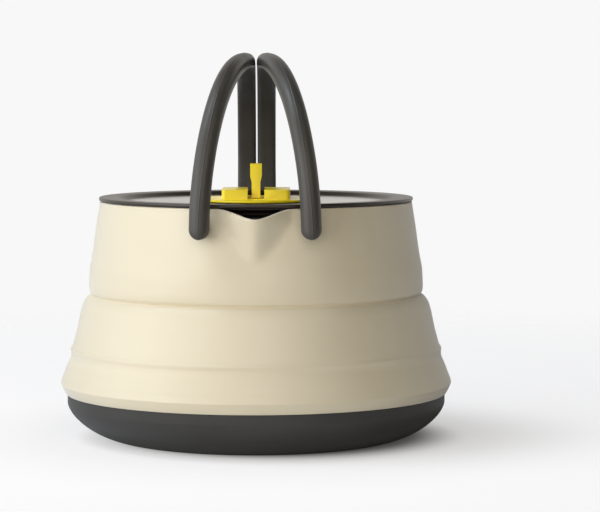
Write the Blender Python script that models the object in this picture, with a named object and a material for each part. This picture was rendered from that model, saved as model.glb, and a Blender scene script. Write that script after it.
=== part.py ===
"""Collapsible camping kettle, at real size in metres.

The origin is the middle of the base's underside, +Z is up and the spout points to -Y.
The kettle stands open here: the fold web between its two silicone tiers is stretched out.
"""

import math

import bmesh
import bpy
from mathutils import Matrix, Vector

# Gaps and facets

clearance = 0.0003
weld = 0.000001
overrun = 0.004
turned_steps = 48
small_steps = 14
corner_steps = 3
heel_steps = 5
sharp_degrees = 35

# Base pan: pressed sheet with a turned-out lip

pan_radius = 0.0753
pan_flat_radius = 0.0540
pan_corner_height = 0.0145
pan_corner_power = 1.6
pan_corner_steps = 7
pan_sheet = 0.0012
pan_lip_reach = 0.0011

# Silicone wall, level by level from the pan up: hem, skirt, fold, crease, shoulder, rim

wall = 0.0022
hem_rise = 0.0037
lip_rise = 0.0038
skirt_above_lip = 0.0005
skirt_rise = 0.0118
web_rise = 0.0222
crease_rise = 0.0070
tier_rise = 0.0307
hem_edge = 0.0003
lip_cover = 0.0011
fold_inset = 0.0039
web_inset = 0.0082
crease_groove = 0.0007
tier_taper = 0.0044
inner_lip = 0.0014
rim_round = 0.0006

# Each outline runs from its lower end to its upper end: share of the radius, share of the height
hem_shares = ((0.0, 0.0), (0.36, 0.26), (0.68, 0.56), (0.93, 0.84))
skirt_shares = ((0.0, 0.0), (0.15, 0.20), (0.31, 0.34), (0.56, 0.61), (0.87, 0.88), (1.0, 1.0))
web_shares = ((0.0, 0.0), (0.11, 0.08), (0.33, 0.37), (0.51, 0.66), (0.60, 0.81), (0.83, 0.93), (1.0, 1.0))
tier_shares = ((0.0, 0.0), (0.07, 0.15), (0.27, 0.30), (0.48, 0.50), (0.67, 0.70), (0.84, 0.85), (1.0, 1.0))

# Spout, pulled out of the upper tier's front

spout_reach = 0.0080
spout_half = 0.0142
spout_dip = 0.0036
lip_flare = 0.0012
lip_power = 0.8
spout_length = 0.0202
spout_foot_half = 0.0030
spout_step_degrees = 2.0
nose_softness = 0.22
flank_power = 1.25
reach_power = 1.1

# Handles: hoops that stand on a front and a rear pivot

pivot_drop = 0.0074
spout_to_leg = 0.0069
front_stand = 0.0078
rear_stand = 0.0057
hoop_gap = 0.0006
hoop_rise = 0.0632
hoop_power = 2.6
hoop_lean_power = 1.6
hoop_width = 0.0077
hoop_thickness = 0.0060
hoop_corner = 0.0021
hoop_turn_rise = 0.0200
hoop_steps = 26
hoop_end_steps = 4
hoop_end_share = 0.985
hoop_nose_power = 0.25

# Pivots: pin pressed into the leg, bush through lug, silicone and collar

pin_radius = 0.0013
pin_head_radius = 0.0024
pin_head = 0.0010
leg_skin = 0.0019
bush_wall = 0.0005
bush_flange_radius = 0.0034
bush_flange = 0.0006
bush_seat_depth = 0.0008
lug_inset = 0.00065

# Rim collar inside the silicone, open at the spout

collar_wall = 0.0025
collar_below_pivot = 0.0042
seat_above_pivot = 0.0035
collar_end = 0.0022

# Lid and its seal

lid_overhang = 0.0004
lid_flange = 0.0014
lid_edge_round = 0.0006
lid_land = 0.0052
lid_slope_reach = 0.0064
lid_floor_drop = 0.0018
lid_floor = 0.0015
lid_root = 0.0008
skirt_wall = 0.0018
skirt_depth = 0.0046
seal_room = 0.0030
toe_reach = 0.0010
toe_height = 0.0008
seal_fin = 0.0009

# The slope from the lid's floor up to its flange, and the two fins of the seal as shares of its height
lid_slope_shares = ((0.0, 0.0), (0.22, 0.05), (0.45, 0.24), (0.64, 0.60), (0.82, 0.91), (1.0, 1.0))
seal_fin_shares = (0.2, 0.4, 0.6, 0.8)

# Knob on the lid

knob_radius = 0.0235
knob_disc = 0.0009
knob_edge_round = 0.0003
boss_half = 0.0135
boss_corner = 0.0016
boss_roof = 0.0007
boss_round = 0.0004
slot_play = 0.0009
slot_step = 0.0002
backing_border = 0.0015
backing_sheet = 0.0012
knob_screw_radius = 0.0012
knob_screw_head_radius = 0.0024
knob_screw_head = 0.0013
knob_screw_roof = 0.0010
knob_screw_share = 0.37

# Finger tab

tab_thickness = 0.0034
tab_hub = 0.0016
tab_rise = 0.0117
tab_depth = 0.0098
tab_lean = 0.0030
tab_grip_thickness = 0.0048
tab_grip_height = 0.0046
tab_grip_blend = 0.0030
tab_corner = 0.0006
tab_pin_radius = 0.0007
tab_pin_inset = 0.0025

# Levels and radii that follow from the sizes above

hem_z = pan_corner_height + hem_rise
pan_lip_top = hem_z + lip_rise
skirt_z = pan_lip_top + skirt_above_lip
fold_z = skirt_z + skirt_rise
crease_z = fold_z + web_rise
shoulder_z = crease_z + crease_rise
rim_z = shoulder_z + tier_rise
pan_lip_radius = pan_radius + pan_lip_reach
hem_radius = pan_radius + clearance + hem_edge
skirt_radius = pan_lip_radius + clearance + lip_cover
fold_radius = skirt_radius - fold_inset
crease_radius = fold_radius - web_inset
shoulder_radius = crease_radius + crease_groove
rim_radius = shoulder_radius - tier_taper

lip_half = spout_half + lip_flare
spout_tip_z = rim_z - spout_dip
spout_foot_z = rim_z - spout_length
pivot_z = rim_z - pivot_drop
front_pivot_x = spout_half + spout_to_leg
rear_pivot_x = (hoop_width + hoop_gap) / 2
pin_depth = hoop_thickness - leg_skin
bush_radius = pin_radius + clearance + bush_wall
bore_radius = bush_radius + clearance
lug_radius = hoop_width / 2 - lug_inset

collar_foot_z = pivot_z - collar_below_pivot
collar_seat_z = pivot_z + seat_above_pivot
collar_radius = rim_radius - wall - clearance
collar_seat_radius = collar_radius - collar_wall
collar_gap_half = front_pivot_x - bush_flange_radius - collar_end

lid_radius = rim_radius + lid_overhang
lid_base_z = rim_z + clearance
lid_top_z = lid_base_z + lid_flange
lid_floor_z = lid_top_z - lid_floor_drop
skirt_outer_radius = collar_seat_radius - seal_room
skirt_foot_z = rim_z - skirt_depth
lid_recess_radius = lid_radius - lid_land
lid_root_radius = collar_seat_radius - clearance
lid_root_z = lid_base_z - lid_root

boss_height = slot_step + tab_hub + clearance + tab_pin_radius + clearance + boss_roof
slot_width = tab_grip_thickness + 2 * slot_play
backing_radius = boss_half + backing_border
knob_disc_z = lid_floor_z + clearance
knob_top_z = knob_disc_z + knob_disc
boss_top_z = knob_top_z + boss_height
slot_floor_z = knob_top_z + slot_step
knob_screw_x = (slot_width / 2 + boss_half) / 2
knob_screw_y = boss_half * knob_screw_share
tab_pivot_z = slot_floor_z + clearance + tab_hub
tab_pin_half_length = boss_half - tab_pin_inset


def clear_scene():
    """Removes whatever the scene holds."""
    for thing in list(bpy.data.objects):
        bpy.data.objects.remove(thing, do_unlink=True)


def finish_material(name, colour, roughness, metallic=0.0):
    """A plain surface finish: colour, roughness and how metallic it is."""
    material = bpy.data.materials.new(name)
    material.use_nodes = True
    shader = material.node_tree.nodes["Principled BSDF"]
    shader.inputs["Base Color"].default_value = (*colour, 1.0)
    shader.inputs["Roughness"].default_value = roughness
    shader.inputs["Metallic"].default_value = metallic
    return material


def add_piece(name, solid, material, origin=None):
    """Turns a worked-out solid into a named piece whose origin is the given point."""
    bmesh.ops.remove_doubles(solid, verts=solid.verts, dist=weld)
    bmesh.ops.recalc_face_normals(solid, faces=solid.faces)
    mesh = bpy.data.meshes.new(name)
    solid.to_mesh(mesh)
    solid.free()
    piece = bpy.data.objects.new(name, mesh)
    bpy.context.scene.collection.objects.link(piece)
    if origin is not None:
        mesh.transform(Matrix.Translation(-Vector(origin)))
        piece.location = origin
    mesh.shade_smooth()
    mesh.set_sharp_from_angle(angle=math.radians(sharp_degrees))
    mesh.materials.append(material)
    return piece


def add_cutter(name, solid):
    """A solid that only shapes others and isn't part of the kettle by itself."""
    cutter = add_piece(name, solid, cutter_finish)
    cutter.hide_render = True
    cutter.display_type = "WIRE"
    return cutter


def cut(piece, cutter, operation="DIFFERENCE"):
    """Takes the cutter's shape out of a piece."""
    modifier = piece.modifiers.new(cutter.name, "BOOLEAN")
    modifier.object = cutter
    modifier.operation = operation
    modifier.solver = "EXACT"


def join(piece, other):
    """Makes another solid's shape part of a piece."""
    cut(piece, other, "UNION")


def spread(shares, lower, upper):
    """Points of an outline between two places, each a radius and a height."""
    return [
        (lower[0] + out * (upper[0] - lower[0]), lower[1] + up * (upper[1] - lower[1]))
        for out, up in shares
    ]


def inset_outline(outline, depth):
    """The same outline, moved in towards the axis."""
    return [(radius - depth, height) for radius, height in outline]


def radius_at(outline, height):
    """Radius of an outline at a height, straight between its points."""
    for (low_radius, low), (high_radius, high) in zip(outline, outline[1:]):
        if height <= high:
            share = max(0.0, (height - low) / (high - low))
            return low_radius + share * (high_radius - low_radius)
    return outline[-1][0]


def turned(outline, closed=True, steps=turned_steps):
    """A solid turned about the Z axis; a closed outline doesn't touch the axis."""
    solid = bmesh.new()
    points = [solid.verts.new((radius, 0, height)) for radius, height in outline]
    edges = [solid.edges.new(pair) for pair in zip(points, points[1:])]
    if closed:
        edges.append(solid.edges.new((points[-1], points[0])))
    bmesh.ops.spin(
        solid,
        geom=points + edges,
        cent=(0, 0, 0),
        axis=(0, 0, 1),
        angle=math.tau,
        steps=steps,
        use_merge=True,
        use_duplicate=False,
    )
    bmesh.ops.remove_doubles(solid, verts=solid.verts, dist=weld)
    bmesh.ops.dissolve_degenerate(solid, edges=solid.edges, dist=weld)
    return solid


def skinned(rings, closed=False):
    """A solid skinned over rings of points; an open row of rings gets end caps."""
    solid = bmesh.new()
    rows = [[solid.verts.new(point) for point in ring] for ring in rings]
    pairs = list(zip(rows, rows[1:]))
    if closed:
        pairs.append((rows[-1], rows[0]))
    else:
        solid.faces.new(rows[0])
        solid.faces.new(rows[-1])
    for row, following in pairs:
        for index in range(len(row)):
            after = (index + 1) % len(row)
            solid.faces.new((row[index], row[after], following[after], following[index]))
    return solid


def on_line(solid, start, direction):
    """Moves a solid that was made along +Z onto a line."""
    turn = Vector((0, 0, 1)).rotation_difference(Vector(direction)).to_matrix().to_4x4()
    solid.transform(Matrix.Translation(start) @ turn)
    return solid


def rod(start, direction, length, radius, steps=small_steps):
    """A plain round bar on a line."""
    outline = [(0, 0), (radius, 0), (radius, length), (0, length)]
    return on_line(turned(outline, closed=False, steps=steps), start, direction)


def polar(radius, degrees, height):
    """A point at an angle from the spout's direction, seen from above."""
    angle = math.radians(degrees)
    return Vector((radius * math.sin(angle), -radius * math.cos(angle), height))


# Outlines of the silicone wall's outside

hem_outline = spread(hem_shares, (hem_radius, hem_z), (skirt_radius, skirt_z))
skirt_outline = spread(skirt_shares, (skirt_radius, skirt_z), (fold_radius, fold_z))
web_outline = spread(web_shares, (fold_radius, fold_z), (crease_radius, crease_z))
tier_outline = [(crease_radius, crease_z)]
tier_outline += spread(tier_shares, (shoulder_radius, shoulder_z), (rim_radius, rim_z))

# The pivots stand off the wall's outside at their own height

wall_at_pivot = radius_at(tier_outline, pivot_z)
front_pivot_y = math.sqrt(wall_at_pivot ** 2 - front_pivot_x ** 2) + front_stand
rear_pivot_y = wall_at_pivot + rear_stand


def pan_corner(radius, height, bottom):
    """Points of the pan's rounded bottom corner, from its flat up to its side."""
    points = []
    for step in range(pan_corner_steps + 1):
        angle = math.pi / 2 * step / pan_corner_steps
        out = math.sin(angle) ** (2 / pan_corner_power)
        up = 1 - math.cos(angle) ** (2 / pan_corner_power)
        points.append((pan_flat_radius + out * (radius - pan_flat_radius), bottom + up * (height - bottom)))
    return points


def make_base_pan():
    """Pressed metal pan; its turned-out lip is held in the silicone."""
    outside = pan_corner(pan_radius, pan_corner_height, 0)
    inside = pan_corner(pan_radius - pan_sheet, pan_corner_height, pan_sheet)
    lip_bottom = pan_lip_top - pan_sheet
    outline = [(0, 0)] + outside
    outline += [(pan_radius, lip_bottom), (pan_lip_radius, lip_bottom), (pan_lip_radius, pan_lip_top)]
    outline += [(pan_radius - pan_sheet, pan_lip_top)]
    outline += inside[::-1]
    outline += [(0, pan_sheet)]
    return add_piece("base_pan", turned(outline, closed=False), pan_finish)


def make_lower_wall():
    """Silicone skirt that grips the pan's lip from outside, above and inside."""
    top = fold_z - clearance / 2
    outside = hem_outline + skirt_outline[:-1] + [(fold_radius, top)]
    pan_inside = pan_radius - pan_sheet - clearance
    lip_room = pan_lip_top + clearance
    lip_underside = pan_lip_top - pan_sheet - clearance
    inside = [(pan_inside - inner_lip, hem_z + inner_lip)]
    inside += [(pan_inside - inner_lip, skirt_z + inner_lip)]
    inside += inset_outline(skirt_outline[2:-1] + [(fold_radius, top)], wall)
    groove = [
        (pan_radius + clearance, hem_z),
        (pan_radius + clearance, lip_underside),
        (pan_lip_radius + clearance, lip_underside),
        (pan_lip_radius + clearance, lip_room),
        (pan_inside, lip_room),
        (pan_inside, hem_z + inner_lip / 2),
    ]
    outline = outside + inside[::-1] + groove[::-1]
    return add_piece("lower_wall", turned(outline), silicone_finish)


def make_fold_web():
    """The cone of silicone that turns over when the kettle is pushed flat."""
    outside = [(radius, height) for radius, height in web_outline]
    outside[0] = (fold_radius, fold_z + clearance / 2)
    outside[-1] = (crease_radius, crease_z - clearance / 2)
    outline = outside + inset_outline(outside, wall)[::-1]
    return add_piece("fold_web", turned(outline), silicone_finish)


def spout_stand(across, height):
    """How far the spout stands out of the round wall."""
    rise = (height - spout_foot_z) / (spout_tip_z - spout_foot_z)
    if rise <= 0:
        return 0
    rise = min(rise, 1)
    half = spout_foot_half + (spout_half - spout_foot_half) * rise
    offset = abs(across) / half
    rounded = math.hypot(offset, nose_softness) - nose_softness
    full = math.hypot(1, nose_softness) - nose_softness
    return spout_reach * rise ** reach_power * max(0, 1 - rounded / full) ** flank_power


def lip_drop(across):
    """How far the pouring lip dips below the rim."""
    offset = abs(across) / lip_half
    if offset >= 1:
        return 0
    return spout_dip * math.cos(math.pi / 2 * offset ** lip_power) ** 2


def wall_section(degrees):
    """Closed section of the upper wall at an angle from the spout."""
    across = rim_radius * math.sin(math.radians(degrees))
    if abs(degrees) > 90:
        across = rim_radius
    foot = crease_z + clearance / 2
    top = rim_z - lip_drop(across)
    outside = []
    for radius, height in tier_outline:
        share = (height - crease_z) / (rim_z - crease_z)
        level = foot + share * (top - foot)
        outside.append((radius + spout_stand(across, level), level))
    rim_out, rim_level = outside[-1]
    outside[-1] = (rim_out, rim_level - rim_round)
    edge = [(rim_out - rim_round, rim_level), (rim_out - wall + rim_round, rim_level)]
    return outside + edge + inset_outline(outside, wall)[::-1]


def make_upper_wall(bores):
    """Upper silicone tier with the spout, bored for the four handle pivots."""
    spout_edge = math.degrees(math.asin(spout_half / rim_radius))
    spout_steps = 2 * math.ceil(spout_edge / spout_step_degrees)
    angles = [-spout_edge + 2 * spout_edge * step / spout_steps for step in range(spout_steps)]
    rest_steps = round(turned_steps * (360 - 2 * spout_edge) / 360)
    angles += [spout_edge + (360 - 2 * spout_edge) * step / rest_steps for step in range(rest_steps)]
    rings = []
    for degrees in angles:
        wrapped = degrees if degrees <= 180 else degrees - 360
        rings.append([polar(radius, degrees, height) for radius, height in wall_section(wrapped)])
    piece = add_piece("upper_wall", skinned(rings, closed=True), silicone_finish)
    for bore in bores:
        cut(piece, bore)
    return piece


def make_rim_collar(bores):
    """Rigid ring inside the silicone rim, open at the spout."""
    top = rim_z - clearance
    steps = turned_steps - 2
    foot_radius = radius_at(tier_outline, collar_foot_z) - wall - clearance
    section = [(foot_radius, collar_foot_z), (collar_radius, top)]
    section += [(collar_seat_radius, top), (collar_seat_radius, collar_seat_z)]
    section += [(foot_radius - collar_wall, collar_foot_z)]
    gap = math.degrees(math.asin(collar_gap_half / collar_radius))
    rings = []
    for step in range(steps + 1):
        degrees = gap + (360 - 2 * gap) * step / steps
        rings.append([polar(radius, degrees, height) for radius, height in section])
    piece = add_piece("rim_collar", skinned(rings), nylon_finish)
    for bore in bores:
        cut(piece, bore)
    return piece


def pivot_line(side, front):
    """A handle pivot's point and the direction from it towards the kettle's inside."""
    front_point = Vector((side * front_pivot_x, -front_pivot_y, pivot_z))
    rear_point = Vector((side * rear_pivot_x, rear_pivot_y, pivot_z))
    inward = (rear_point - front_point).normalized()
    return (front_point, inward) if front else (rear_point, -inward)


def rounded_rectangle(centre, across, upward, width, height, corner):
    """Ring of points round a rectangle with rounded corners."""
    ring = []
    for quarter in range(4):
        middle = math.pi / 2 * (quarter + 1 / 2)
        side = math.copysign(width / 2 - corner, math.cos(middle))
        level = math.copysign(height / 2 - corner, math.sin(middle))
        for step in range(corner_steps):
            angle = math.pi / 2 * (quarter + step / (corner_steps - 1))
            out = side + corner * math.cos(angle)
            rise = level + corner * math.sin(angle)
            ring.append(centre + out * across + rise * upward)
    return ring


def reach_to(point, direction, radius):
    """Distance along a level line from a point outside to a circle about the axis."""
    along = point.xy.dot(direction.xy)
    return -along - math.sqrt(along ** 2 - point.xy.length_squared + radius ** 2)


def collar_inner_at_pivot():
    """Radius of the collar's inner face at the height of the pivots."""
    foot_radius = radius_at(tier_outline, collar_foot_z) - wall - clearance - collar_wall
    share = (pivot_z - collar_foot_z) / (collar_seat_z - collar_foot_z)
    return foot_radius + share * (collar_seat_radius - foot_radius)


def make_pivot(side, front):
    """Stepped bore, lug, bush and pin of one handle pivot, and the hole in the leg."""
    label = ("front_" if front else "rear_") + ("left" if side < 0 else "right")
    point, inward = pivot_line(side, front)
    seat = reach_to(point, inward, collar_inner_at_pivot()) - bush_seat_depth
    face = hoop_thickness / 2 + clearance
    bore_outline = [
        (0, 0),
        (bore_radius, 0),
        (bore_radius, seat),
        (bush_flange_radius + clearance, seat),
        (bush_flange_radius + clearance, seat + overrun),
        (0, seat + overrun),
    ]
    bore_solid = turned(bore_outline, closed=False, steps=small_steps)
    bore = add_cutter(label + "_bore", on_line(bore_solid, point, inward))

    length = reach_to(point, inward, rim_radius - wall)
    lug_outline = [(bore_radius, face), (lug_radius, face), (lug_radius, length), (bore_radius, length)]
    lug_solid = turned(lug_outline, steps=small_steps)
    lug = add_piece(label + "_lug", on_line(lug_solid, point, inward), nylon_finish)
    cut(lug, wall_cutter)

    flange = seat + clearance
    bush_outline = [
        (pin_radius + clearance, face),
        (bush_radius, face),
        (bush_radius, flange),
        (bush_flange_radius, flange),
        (bush_flange_radius, flange + bush_flange),
        (pin_radius + clearance, flange + bush_flange),
    ]
    add_piece(label + "_bush", on_line(turned(bush_outline, steps=small_steps), point, inward), steel_finish)

    hole_end = face - clearance - pin_depth
    head = flange + bush_flange + clearance
    pin_outline = [
        (0, hole_end + clearance),
        (pin_radius, hole_end + clearance),
        (pin_radius, head),
        (pin_head_radius, head),
        (pin_head_radius, head + pin_head),
        (0, head + pin_head),
    ]
    pin = turned(pin_outline, closed=False, steps=small_steps)
    add_piece(label + "_pivot_pin", on_line(pin, point, inward), steel_finish, origin=point)

    hole = rod(point + hole_end * inward, inward, pin_depth + overrun, pin_radius + clearance)
    return bore, add_cutter(label + "_leg_hole", hole)


def hoop_place(angle):
    """Centre of the right hoop at an angle of its arch, from the front pivot over the top."""
    middle = (rear_pivot_y - front_pivot_y) / 2
    half_span = (rear_pivot_y + front_pivot_y) / 2
    rise = max(0, math.sin(angle)) ** (2 / hoop_power)
    reach = abs(math.cos(angle)) ** (2 / hoop_power)
    lean = rear_pivot_x
    if angle < math.pi / 2:
        lean += (front_pivot_x - rear_pivot_x) * math.sqrt(max(0, 1 - rise ** hoop_lean_power))
    forward = math.copysign(reach, math.cos(angle))
    return Vector((lean, middle - half_span * forward, pivot_z + hoop_rise * rise))


def hoop_ring(centre, along, across, width, thickness):
    """Rounded section across the hoop; it narrows towards the legs' round ends."""
    across = (across - across.dot(along) * along).normalized()
    outward = along.cross(across)
    return rounded_rectangle(centre, across, outward, width, thickness, min(hoop_corner, width / 2))


def make_handle(side, holes):
    """One hoop handle, swept along its arch, with a rounded end below each pivot."""
    _, inward = pivot_line(1, True)
    level_across = Vector((inward.y, -inward.x, 0))
    upward = Vector((0, 0, 1))
    places = [hoop_place(math.pi * step / hoop_steps) for step in range(hoop_steps + 1)]
    places[0].z = pivot_z
    places[-1].z = pivot_z
    last_angle = math.pi / 2 * hoop_end_share
    end_angles = [last_angle * step / hoop_end_steps for step in range(1, hoop_end_steps + 1)]
    half_width = hoop_width / 2
    noses = []
    for angle in end_angles:
        width = hoop_width * math.cos(angle)
        thickness = hoop_thickness * math.cos(angle) ** hoop_nose_power
        noses.append((half_width * math.sin(angle) * upward, width, thickness))
    rings = []
    for drop, width, thickness in reversed(noses):
        rings.append(hoop_ring(places[0] - drop, upward, level_across, width, thickness))
    for index, place in enumerate(places):
        before = places[max(index - 1, 0)]
        after = places[min(index + 1, hoop_steps)]
        along = (after - before).normalized()
        if index in (0, hoop_steps):
            along = upward if index == 0 else -upward
        turned_away = min(1, (place.z - pivot_z) / hoop_turn_rise)
        across = level_across.lerp(Vector((1, 0, 0)), turned_away).normalized()
        rings.append(hoop_ring(place, along, across, hoop_width, hoop_thickness))
    for drop, width, thickness in noses:
        rings.append(hoop_ring(places[-1] - drop, -upward, level_across, width, thickness))
    for ring in rings:
        for point in ring:
            point.x *= side
    name = "handle_left" if side < 0 else "handle_right"
    pivot, _ = pivot_line(side, True)
    handle = add_piece(name, skinned(rings), handle_finish, origin=pivot)
    for hole in holes:
        cut(handle, hole)
    return handle


def make_lid_panel(screw_holes):
    """Tinted lid with a flat flange, a sunken floor and a skirt that takes the seal."""
    skirt_inner = skirt_outer_radius - skirt_wall
    floor_bottom = lid_floor_z - lid_floor
    floor_edge = lid_recess_radius - lid_slope_reach
    outline = [(0, lid_floor_z)]
    outline += spread(lid_slope_shares, (floor_edge, lid_floor_z), (lid_recess_radius, lid_top_z))
    outline += [
        (lid_radius - lid_edge_round, lid_top_z),
        (lid_radius, lid_top_z - lid_edge_round),
        (lid_radius, lid_base_z),
        (lid_root_radius, lid_base_z),
        (lid_root_radius, lid_root_z),
        (skirt_outer_radius, lid_root_z),
        (skirt_outer_radius, skirt_foot_z + toe_height),
        (skirt_outer_radius + toe_reach, skirt_foot_z + toe_height),
        (skirt_outer_radius + toe_reach, skirt_foot_z),
        (skirt_inner, skirt_foot_z),
        (skirt_inner, floor_bottom),
        (0, floor_bottom),
    ]
    piece = add_piece("lid_panel", turned(outline[::-1], closed=False), lid_finish)
    for hole in screw_holes:
        cut(piece, hole)
    return piece


def make_lid_seal():
    """Silicone ring round the skirt, with two fins against the collar."""
    inner = skirt_outer_radius + clearance
    outer = collar_seat_radius - clearance
    bottom = skirt_foot_z + toe_height + clearance
    top = lid_root_z - clearance
    valley = outer - seal_fin
    fin_levels = [bottom + share * (top - bottom) for share in seal_fin_shares]
    low_tip, low_valley, high_valley, high_tip = fin_levels
    outline = [
        (inner, bottom),
        (valley, bottom),
        (outer, low_tip),
        (valley, low_valley),
        (valley, high_valley),
        (outer, high_tip),
        (valley, top),
        (inner, top),
    ]
    return add_piece("lid_seal", turned(outline), gasket_finish)


def boss_level(height, width):
    """Square outline of the knob's boss at a height, with rounded corners."""
    middle = Vector((0, 0, height))
    return rounded_rectangle(middle, Vector((1, 0, 0)), Vector((0, 1, 0)), width, width, boss_corner)


def make_knob(screw_holes):
    """Yellow disc with a square slotted boss, bored for the tab's pin and the screws."""
    outline = [
        (0, knob_disc_z),
        (knob_radius, knob_disc_z),
        (knob_radius, knob_top_z - knob_edge_round),
        (knob_radius - knob_edge_round, knob_top_z),
        (0, knob_top_z),
    ]
    disc = turned(outline, closed=False)
    half_facet = math.pi / turned_steps
    disc.transform(Matrix.Rotation(half_facet, 4, "Z"))
    piece = add_piece("knob_base", disc, knob_finish)
    boss_rings = [
        boss_level(knob_top_z - knob_disc / 2, 2 * boss_half),
        boss_level(boss_top_z - boss_round, 2 * boss_half),
        boss_level(boss_top_z, 2 * (boss_half - boss_round)),
    ]
    join(piece, add_cutter("knob_boss", skinned(boss_rings)))
    slot = bmesh.new()
    bmesh.ops.create_cube(slot, size=1)
    slot_height = boss_height + overrun
    slot.transform(Matrix.Diagonal((slot_width, 2 * (boss_half + overrun), slot_height, 1)))
    slot.transform(Matrix.Translation((0, 0, slot_floor_z + slot_height / 2)))
    cut(piece, add_cutter("knob_slot", slot))
    start = Vector((-tab_pin_half_length - clearance, 0, tab_pivot_z))
    length = tab_pin_half_length + clearance + boss_half + overrun
    cut(piece, add_cutter("tab_pin_bore", rod(start, (1, 0, 0), length, tab_pin_radius + clearance)))
    for hole in screw_holes:
        cut(piece, hole)

    pin_start = Vector((-tab_pin_half_length, 0, tab_pivot_z))
    add_piece("tab_hinge_pin", rod(pin_start, (1, 0, 0), 2 * tab_pin_half_length, tab_pin_radius), pin_finish)
    return piece


def make_knob_fixings():
    """Backing plate under the lid and the two screws that hold the knob."""
    plate_top = lid_floor_z - lid_floor - clearance
    plate_bottom = plate_top - backing_sheet
    outline = [(0, plate_bottom), (backing_radius, plate_bottom), (backing_radius, plate_top), (0, plate_top)]
    plate_solid = turned(outline, closed=False, steps=turned_steps // 2)
    plate = add_piece("knob_backing_plate", plate_solid, steel_finish)
    holes = []
    tip = boss_top_z - knob_screw_roof
    head_top = plate_bottom - clearance
    for side, label in ((-1, "left"), (1, "right")):
        place = Vector((side * knob_screw_x, side * knob_screw_y, head_top))
        length = tip + clearance - head_top
        hole = rod(place, (0, 0, 1), length, knob_screw_radius + clearance)
        holes.append(add_cutter("knob_screw_hole_" + label, hole))
        screw_outline = [
            (0, -knob_screw_head),
            (knob_screw_head_radius, -knob_screw_head),
            (knob_screw_head_radius, 0),
            (knob_screw_radius, 0),
            (knob_screw_radius, tip - head_top),
            (0, tip - head_top),
        ]
        screw = turned(screw_outline, closed=False, steps=small_steps)
        add_piece("knob_screw_" + label, on_line(screw, place, (0, 0, 1)), steel_finish)
    for hole in holes:
        cut(plate, hole)
    return holes


def tab_ring(height, thickness, back):
    """Outline of the finger tab at a height above its pivot, seen from above."""
    front = tab_hub - tab_depth + tab_lean * height / tab_rise
    corner = tab_corner
    half = thickness / 2
    corners = ((half - corner, back), (half, back - corner), (half, front + corner), (half - corner, front))
    right = [Vector((out, along, tab_pivot_z + height)) for out, along in corners]
    left = [Vector((-out, along, tab_pivot_z + height)) for out, along in corners[::-1]]
    return right + left


def make_finger_tab():
    """Lever that stands in the knob's slot and folds back into it; its heel is round about the pin."""
    grip_start = tab_rise - tab_grip_height
    rings = []
    for step in range(heel_steps + 1):
        angle = math.pi / 2 * step / heel_steps
        rings.append(tab_ring(-tab_hub * math.cos(angle), tab_thickness, tab_hub * math.sin(angle)))
    rings.append(tab_ring(grip_start - tab_grip_blend, tab_thickness, tab_hub))
    rings.append(tab_ring(grip_start, tab_grip_thickness, tab_hub))
    rings.append(tab_ring(tab_rise - tab_corner, tab_grip_thickness, tab_hub))
    rings.append(tab_ring(tab_rise, tab_grip_thickness - 2 * tab_corner, tab_hub))
    pivot = Vector((0, 0, tab_pivot_z))
    tab = add_piece("finger_tab", skinned(rings), knob_finish, origin=pivot)
    start = Vector((-tab_thickness, 0, tab_pivot_z))
    bore = rod(start, (1, 0, 0), 2 * tab_thickness, tab_pin_radius + clearance)
    cut(tab, add_cutter("tab_bore", bore))
    return tab


clear_scene()

pan_finish = finish_material("hard_anodised", (0.060, 0.060, 0.057), 0.55, 0.6)
silicone_finish = finish_material("cream_silicone", (0.800, 0.740, 0.620), 0.60)
nylon_finish = finish_material("black_nylon", (0.030, 0.030, 0.028), 0.50)
handle_finish = finish_material("charcoal_handle", (0.095, 0.092, 0.085), 0.55)
steel_finish = finish_material("stainless_steel", (0.560, 0.560, 0.550), 0.30, 1.0)
pin_finish = finish_material("black_steel", (0.030, 0.030, 0.030), 0.40, 1.0)
lid_finish = finish_material("smoke_lid", (0.110, 0.085, 0.070), 0.12)
gasket_finish = finish_material("grey_gasket", (0.200, 0.200, 0.200), 0.60)
knob_finish = finish_material("yellow_plastic", (0.830, 0.610, 0.020), 0.40)
cutter_finish = finish_material("cutter", (0.5, 0.5, 0.5), 0.50)

clear_wall = [(radius + clearance, height) for radius, height in tier_outline[1:]]
wall_outline = [(0, shoulder_z)] + clear_wall
wall_outline += [(rim_radius + clearance, rim_z + overrun), (0, rim_z + overrun)]
wall_cutter = add_cutter("wall_shape", turned(wall_outline, closed=False))

pivot_cutters = {}
for handle_side in (-1, 1):
    for at_front in (True, False):
        pivot_cutters[handle_side, at_front] = make_pivot(handle_side, at_front)
all_bores = [bore for bore, leg_hole in pivot_cutters.values()]

make_base_pan()
make_lower_wall()
make_fold_web()
make_upper_wall(all_bores)
make_rim_collar(all_bores)
for handle_side in (-1, 1):
    leg_holes = [pivot_cutters[handle_side, at_front][1] for at_front in (True, False)]
    make_handle(handle_side, leg_holes)
knob_screw_holes = make_knob_fixings()
make_lid_panel(knob_screw_holes)
make_lid_seal()
make_knob(knob_screw_holes)
make_finger_tab()
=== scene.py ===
import math

import bmesh
import bpy
from mathutils import Matrix, Vector


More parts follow.
